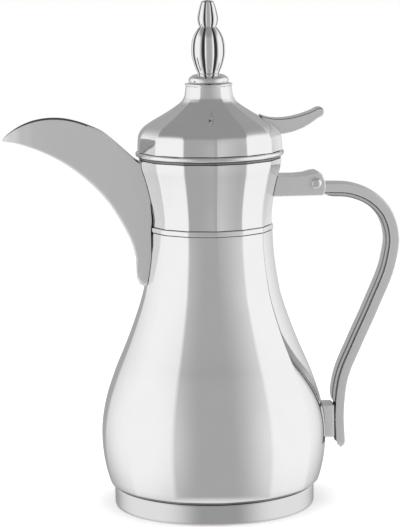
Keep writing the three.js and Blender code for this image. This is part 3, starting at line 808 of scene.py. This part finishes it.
def handle():
    crown = [(y, -CROWN * (1 - (y / 6.6) ** 2)) for y in (-5, -3.5, -1.8, 0, 1.8, 3.5, 5)]
    section = rounded(
        [(-BAR_HALF, 0, 0.5)] + [(y, v, 0) for y, v in crown]
        + [(BAR_HALF, 0, 0.5), (BAR_HALF, BAR_EDGE, 0.5), (GROOVE_HALF, BAR_EDGE, 0.3),
           (GROOVE_HALF, GROOVE_DEPTH, 0.2), (-GROOVE_HALF, GROOVE_DEPTH, 0.2),
           (-GROOVE_HALF, BAR_EDGE, 0.3), (-BAR_HALF, BAR_EDGE, 0.5)], 0.4)
    curve = bar_curve()

    def recess(middle, normal):
        """Whether a face of the bar is in the recess for the strip, which takes dark steel as painted
        shade.
        """
        return abs(middle.y) < GROOVE_HALF + 0.1 and recess_depth(middle) > GROOVE_DEPTH - 0.4

    def recess_depth(middle):
        """How deep a point is from the bar's outer edge."""
        flat = Vector((middle.x, middle.z))
        k = min(range(len(curve)), key=lambda i: (curve[i] - flat).length_squared)
        ahead = curve[min(k + 1, len(curve) - 1)] - curve[max(k - 1, 0)]
        return (flat - curve[k]).dot(Vector((ahead.y, -ahead.x)).normalized())

    def strip_seam(middle, normal):
        """Whether a face of the strip is beside the bar or along its free edge, where dark steel paints
        shade lines.
        """
        depth = recess_depth(middle)
        return depth < 5.5 or (abs(middle.y) > half - 0.7 and depth > 7.1)

    bolt_bore = rod(BOLT_BORE_R, (66, 0, BOLT_Z), (76.6, 0, BOLT_Z), 0)
    channel = cut(swept(curve, section, bar_end), rivet_bore(), bolt_bore)
    piece("handle_channel", channel, SATIN, inner=PAINTED_SHADE, in_painted_shade=recess)

    half = GROOVE_HALF - 0.4
    side = [(half, 4.4), (half - 0.3, 4.65), (half, 4.9), (half, 5.3), (half - 0.3, 5.55), (half, 5.8),
            (half, 6.2), (half - 0.3, 6.45), (half, 6.7), (half, 7.1)]
    ribs = [(half, GROOVE_DEPTH + GAP)] + side + [(half - 0.6, BAR_FULL)]
    ribs += [(-y, v) for y, v in reversed(ribs)]
    count = len(curve)
    part = curve[round(0.085 * count):round(0.87 * count)]
    length = len(part)

    def strip_end(k):
        near = min(k, length - 1 - k)
        return (1, 1) if near > 2 else (1 - 0.03 * (3 - near), 1 - 0.08 * (3 - near) ** 2 / 3)

    strip = cut(swept(part, ribs, strip_end), rivet_bore())
    piece("handle_strip", strip, GRIP, sharp=25, inner=PAINTED_SHADE, in_painted_shade=strip_seam)

    arm = prism(BRACKET_OUTLINE, BRACKET_HALF, 0.8, crown=0.3, radius=1.5)
    flange = prism(FLANGE_OUTLINE, FLANGE_HALF, 0.4, radius=0.8)
    pocket = block((47, -BAR_HALF - 0.4, 176), (80, BAR_HALF + 0.4, 192.2), 0)
    arm = cut(arm, pocket, pot_envelope(TRIM), rivet_bore())
    piece("handle_bracket", joined(arm, cut(flange, pot_envelope(TRIM))), SATIN)

    rivet = turned(rounded([
        (0, -11.9, 0), (2.2, -11.5, 1.5), (3.3, -10.5, 0.6), (3.45, -9.8, 0.2), (2.2, -9.7, 0),
        (2.2, 9.7, 0),
        (3.45, 9.8, 0.2), (3.3, 10.5, 0.6), (2.2, 11.5, 1.5), (0, 11.9, 0)], 0.5), 64)
    bmesh.ops.rotate(rivet, cent=(0, 0, 0), matrix=Matrix.Rotation(pi / 2, 3, "X"), verts=rivet.verts)
    bmesh.ops.translate(rivet, vec=(RIVET[0], 0, RIVET[1]), verts=rivet.verts)
    piece("handle_rivet", rivet, POLISHED)

    boss = block((56, -BAR_HALF + 0.4, BOSS_LOW), (72.3, BAR_HALF - 0.4, BOSS_HIGH), 1.6)
    bolt_bore = rod(BOLT_BORE_R, (55, 0, BOLT_Z), (90, 0, BOLT_Z), 0)
    piece("handle_boss", cut(boss, pot_envelope(TRIM), bolt_bore), SATIN)
    head = rod(3, (60.6, 0, BOLT_Z), (63.2, 0, BOLT_Z), 0.5)
    piece("boss_screw", joined(rod(1.5, (63.2, 0, BOLT_Z), (76.2, 0, BOLT_Z)), head), SCREW)
    for name, y in (("bracket_screw_1", -BRACKET_SCREW_Y), ("bracket_screw_2", BRACKET_SCREW_Y)):
        shank = rod(1.5, (35.6, y, BRACKET_SCREW_Z), (46, y, BRACKET_SCREW_Z))
        head = rod(2.6, (33.7, y, BRACKET_SCREW_Z), (35.6, y, BRACKET_SCREW_Z), 0.5)
        piece(name, joined(shank, head), SCREW)


# ---------------------------------------------------------------- lid
def lid():
    piece("lid_gasket", turned(rounded([
        (35.4, NECK_TOP + GAP), (38.1, NECK_TOP + GAP), (38.1, LID_PLATE_BOTTOM - GAP),
        (35.4, LID_PLATE_BOTTOM - GAP)], 0.9), 128), SILICONE)
    middle = (LID_BOTTOM + LID_PLATE_TOP) / 2
    piece("lid_bead", turned(rounded([
        (40.2, LID_BOTTOM, 0.3), (42.6, LID_BOTTOM, 0.5), (43.4, LID_BOTTOM + 0.4, 0.5),
        (43.75, middle, 1.2),
        (43.4, LID_PLATE_TOP - 0.4, 0.5), (42.6, LID_PLATE_TOP, 0.5), (40.2, LID_PLATE_TOP, 0.3)], 0.4),
        224), POLISHED)

    cone = spline(CONE_PROFILE, 5)
    collar = spline(COLLAR_PROFILE, 4)
    lip = rounded([(13.6, 249.2, 0), (14, 249.7, 0.3), (14, DOME_TOP, 0.4), (11, DOME_TOP, 0)], 0.3)
    band = rounded([(42.4, DOME_BOTTOM, 0), (43.1, DOME_BOTTOM, 0.4), (42.85, 217, 0)], 0.4)
    outside = band[:-1] + cone + collar + lip[1:]
    inside = [Vector((41.6, DOME_BOTTOM)), Vector((41.5, 217)), Vector((40, 221)), Vector((37.5, 223.8))]
    inside += [Vector((p.x - 1.2, p.y - 1.3)) for p in cone if p.y > 226]
    inside += [Vector((12.5, 241)), Vector((12.3, 248.5)), Vector((0, 248.5))]
    loop = [Vector((0, DOME_TOP))] + outside[::-1] + inside
    shell = faceted(loop, lambda z: interpolate(LID_FULLNESS, z))
    slot = block((29, -LEVER_HALF - 0.6, LEVER_SLOT_FLOOR), (50, LEVER_HALF + 0.6, 240), 0.8)
    stud = rod(2.6, (0, 0, 240), (0, 0, 260), 0)
    piece("lid_dome", cut(shell, slot, stud), POLISHED, sharp=28)

    bore = rod(1.9, (0, 0, 200), (0, 0, 215), 0)
    places = [(SCREW_CIRCLE * cos(radians(a)), SCREW_CIRCLE * sin(radians(a))) for a in (60, 180, 300)]
    holes = [rod(1.3, (x, y, 200), (x, y, 219), 0) for x, y in places]
    plate = turned(rounded([
        (0, LID_PLATE_BOTTOM, 0), (LID_PLATE_R, LID_PLATE_BOTTOM, 0.5), (LID_PLATE_R, LID_PLATE_TOP, 0.5),
        (0, LID_PLATE_TOP, 0)], 0.5), 128)
    piece("lid_plate", cut(plate, bore, *holes), PLASTIC)
    for k, (x, y) in enumerate(places):
        head = rod(2.1, (x, y, LID_PLATE_BOTTOM - 1.8), (x, y, LID_PLATE_BOTTOM - GAP), 0.35)
        cross = [block((x - 1.3, y - 0.25, 207), (x + 1.3, y + 0.25, 208), 0),
                 block((x - 0.25, y - 1.3, 207), (x + 0.25, y + 1.3, 208), 0)]
        shank = rod(1, (x, y, LID_PLATE_BOTTOM - GAP), (x, y, 217))
        piece(f"lid_screw_{k + 1}", joined(cut(head, *cross), shank), SCREW)


def stopper():
    top = LID_PLATE_BOTTOM - GAP
    outline = rounded([
        (SEAT_R, STOPPER_BOTTOM, 0.5), (STOPPER_R, STOPPER_BOTTOM, 1.2), (STOPPER_R, top - 2, 0.4),
        (STOPPER_FLANGE_R, top - 2, 0.4), (STOPPER_FLANGE_R, top, 0.4), (STOPPER_R - 2.3, top, 0.3),
        (STOPPER_R - 2.3, STOPPER_BOTTOM + 2.5, 0.8), (SEAT_R, STOPPER_BOTTOM + 2.5, 0.5)], 0.4)
    window = block((-30, -6.5, 186), (-15, 6.5, 196), 0.8)
    piece("stopper_body", cut(turned(outline, 112), window), PLASTIC)
    piece("stopper_gasket", turned(rounded([
        (STOPPER_R + GAP, 169), (LINER_NECK_R - LINER_WALL - GAP, 169),
        (LINER_NECK_R - LINER_WALL - GAP, 173),
        (STOPPER_R + GAP, 173)], 0.7), 112), SILICONE)
    seat = STOPPER_BOTTOM + 2.5
    piece("valve_seal", turned(rounded([
        (SEAT_R + 0.4, seat + GAP), (11, seat + GAP), (11, seat + 2.2), (SEAT_R + 0.4, seat + 2.2)], 0.6),
        72), SILICONE)
    low = seat + 2.5
    piece("valve_plug", turned(rounded([
        (1.9, low - 2, 0.2), (SEAT_R - 0.4, low - 2, 0.6), (SEAT_R - 0.4, low, 0.3), (11, low, 0.4),
        (11, low + 3.5, 0.6), (1.9, low + 3.5, 0.3)], 0.4), 72), PLASTIC)
    flange = low + 3.5 + GAP
    piece("valve_stem", turned(rounded([
        (0, low - 1, 0), (STEM_R, low - 1, 0.3), (STEM_R, flange, 0.1), (6.5, flange, 0.3),
        (6.5, flange + 1.5, 0.3), (STEM_R, flange + 1.5, 0.1), (STEM_R, ARM_TOP + 0.9, 0.1),
        (3.5, ARM_TOP + 0.9, 0.3), (3.5, ARM_TOP + 3.3, 0.8), (0, ARM_TOP + 3.3, 0)], 0.3), 48), SCREW)


def pin_bore():
    return rod(1.6, (PIVOT[0], -12, PIVOT[1]), (PIVOT[0], 12, PIVOT[1]), 0)


def top_edge(middle, normal):
    """Whether a face of the lever is on the rounded edge between its top and its side, where dark steel
    paints a dark reflection line along the crease.
    """
    return 0.2 < abs(normal.y) < 0.97 and normal.z > 0.25


def lever():
    fork = rod(2.3, (0, 0, 210), (0, 0, 222), 0)
    edge = spline(THUMB_TOP + THUMB_TIP + THUMB_UNDER, 4)
    thumb = prism(edge, LEVER_HALF, 0.5, 0.35)
    arm = prism(ARM_OUTLINE, 3.2, 0.3, radius=0.8)
    whole = cut(boolean(thumb, "UNION", arm), pin_bore(), fork)
    piece("thumb_lever", whole, SATIN, inner=PAINTED_SHADE, in_painted_shade=top_edge)
    inner = LEVER_HALF + 0.7
    outer = inner + 1.5
    ears = [block((30.2, min(s * inner, s * outer), 211.5), (36, max(s * inner, s * outer), 224.4), 0.4)
            for s in (-1, 1)]
    base = block((24, -outer, LID_PLATE_TOP + GAP), (36.5, outer, LID_PLATE_TOP + 1.7), 0.3)
    bracket = boolean(base, "UNION", *ears)
    piece("lever_bracket", cut(bracket, pin_bore()), SCREW)
    pin = rod(1.3, (PIVOT[0], -outer - 0.6, PIVOT[1]), (PIVOT[0], outer + 0.6, PIVOT[1]))
    piece("lever_pin", pin, SCREW)


# ---------------------------------------------------------------- finial
def finial():
    bore = 2.6
    piece("finial_base", turned(rounded([
        (bore, DOME_TOP + GAP, 0.2), (10.6, DOME_TOP + GAP, 0.4), (11.6, 251.6, 0.5), (11.8, 252.8, 0.6),
        (11.3, 254, 0.8), (9.4, 255.4, 1.5), (6.6, 256.2, 0.5), (bore, 256.2, 0.2)], 0.4), 128), POLISHED)
    bulb = [Vector((bore, 256.5))] + spline(BULB_PROFILE, 6) + [Vector((bore, 283.3))]
    piece("finial_bulb", lobed(bulb, 0.11), VALLEY_SHADE, sharp=50)
    tip = [Vector((bore, 283.6))] + spline(TIP_PROFILE, 5)[:-1]
    tip += rounded([(4.0, 297.2, 0), (3.8, 298, 0.8), (2.4, 298.8, 0.6), (1.1, 298.95, 0.2),
                    (1.1, 299.8, 0.4), (0, 300, 0)], 0.4)
    tip += [Vector((0, 292.3)), Vector((bore, 292.3))]
    piece("finial_tip", lobed(tip, 0.09), VALLEY_SHADE, sharp=50)
    piece("finial_stud", rod(2.2, (0, 0, 244), (0, 0, 292), 0.4), SCREW)
    outline = [(bore, 245.4), (4.5, 245.4), (4.6, 245.7), (4.6, 248.2), (4.5, 248.5), (bore, 248.5)]
    piece("finial_nut", turned(outline, 6), SCREW)


# ---------------------------------------------------------------- studio
CAMERA_TURN = radians(5)         # the camera stands this far round from -Y towards the spout
CAMERA_DROP = radians(8.8)
CAMERA_ROLL = radians(-0.82)
CAMERA_PLACE = (-0.12232, -1.39817, 0.36113)
CAMERA_LENS = 163.9
CAMERA_SHIFT = -0.02125

# Plain soft studio light, as light levels: a grey studio with one broad bright panel at each side.
STUDIO_LEVEL = 0.4
PANEL_LEVEL = 0.95
OVERHEAD_LEVEL = 0.3
FLOOR_LEVEL = 0.75


def layer(tree, under, factor, level):
    """A light level that gives way to another where the factor is 1."""
    return add(tree, "ShaderNodeMix", {0: factor, 2: under, 3: level}, data_type="FLOAT").outputs[0]


def studio_light():
    """Soft light from all round, the same from front and back. The camera sees white."""
    world = bpy.data.worlds.new("studio")
    bpy.context.scene.world = world
    world.use_nodes = True
    tree = world.node_tree
    tree.nodes.clear()
    generated = add(tree, "ShaderNodeTexCoord").outputs["Generated"]
    way = add(tree, "ShaderNodeSeparateXYZ", {0: generated}).outputs
    aside = add(tree, "ShaderNodeMath", {0: way["X"]}, operation="ABSOLUTE").outputs[0]
    shade = layer(tree, STUDIO_LEVEL, smooth(tree, aside, 0.3, 0.95), PANEL_LEVEL)
    shade = layer(tree, shade, smooth(tree, way["Z"], 0.5, 0.8), OVERHEAD_LEVEL)
    shade = layer(tree, shade, smooth(tree, way["Z"], -0.85, -0.7, 1, 0), FLOOR_LEVEL)

    reflected = add(tree, "ShaderNodeBackground", {"Color": shade, "Strength": 1.0}).outputs[0]
    plain = add(tree, "ShaderNodeBackground", {"Color": (1, 1, 1, 1), "Strength": 1.0}).outputs[0]
    seen = add(tree, "ShaderNodeLightPath").outputs["Is Camera Ray"]
    mix = add(tree, "ShaderNodeMixShader", {0: seen, 1: reflected, 2: plain}).outputs[0]
    add(tree, "ShaderNodeOutputWorld", {"Surface": mix})

    lamp = bpy.data.lights.new("softbox", "AREA")
    lamp.shape = "DISK"
    lamp.size = 2.4
    lamp.energy = 34
    box = bpy.data.objects.new("softbox", lamp)
    box.location = (0, -0.3, 1.8)
    box.visible_glossy = False
    bpy.context.scene.collection.objects.link(box)


def floor():
    """A pale round floor that fades out, so it has no horizon."""
    bm = bmesh.new()
    bmesh.ops.create_circle(bm, cap_ends=True, segments=96, radius=1.3)
    mesh = bpy.data.meshes.new("floor")
    bm.to_mesh(mesh)
    bm.free()
    made = bpy.data.objects.new("floor", mesh)
    made.location.z = -0.0002
    made.visible_glossy = False
    bpy.context.scene.collection.objects.link(made)
    material, tree, shader, place = surface("pale_floor", (0.9, 0.9, 0.9), 0, 0.7)
    fine = noise(tree, place, 400, detail=3.0)
    tree.links.new(tinted(tree, fine, (0.89,) * 3, (0.91,) * 3), shader.inputs["Base Color"])
    shader.inputs["Emission Color"].default_value = (1, 1, 1, 1)
    shader.inputs["Emission Strength"].default_value = 0.3
    distance = add(tree, "ShaderNodeVectorMath", {0: place}, operation="LENGTH").outputs["Value"]
    clear = add(tree, "ShaderNodeBsdfTransparent").outputs[0]
    mix = add(tree, "ShaderNodeMixShader", {
        0: smooth(tree, distance, 0.35, 1.2), 1: shader.outputs[0], 2: clear}).outputs[0]
    tree.links.new(mix, tree.nodes["Material Output"].inputs["Surface"])
    made.data.materials.append(material)


def camera():
    data = bpy.data.cameras.new("camera")
    data.lens = CAMERA_LENS
    data.sensor_width = 36
    data.shift_x = CAMERA_SHIFT
    data.clip_end = 20
    made = bpy.data.objects.new("camera", data)
    level = cos(CAMERA_DROP)
    ahead = Vector((sin(CAMERA_TURN) * level, cos(CAMERA_TURN) * level, -sin(CAMERA_DROP)))
    look = ahead.to_track_quat("-Z", "Y").to_matrix() @ Matrix.Rotation(CAMERA_ROLL, 3, "Z")
    made.matrix_world = Matrix.Translation(CAMERA_PLACE) @ look.to_4x4()
    bpy.context.scene.collection.objects.link(made)
    bpy.context.scene.camera = made


CARRIED_OVER = {"valve_spring": WIRE, "spout_floor": DRAWN}


def carried_over():
    """CAD nodes that show as they are, with a finished material."""
    for name, material in CARRIED_OVER.items():
        mesh = bpy.data.objects[name].data
        for k in range(len(mesh.materials)):
            mesh.materials[k] = material


camera()
foot_and_body()
neck()
spout()
handle()
lid()
stopper()
lever()
finial()
carried_over()
floor()
studio_light()
bpy.context.scene.view_settings.view_transform = "Standard"
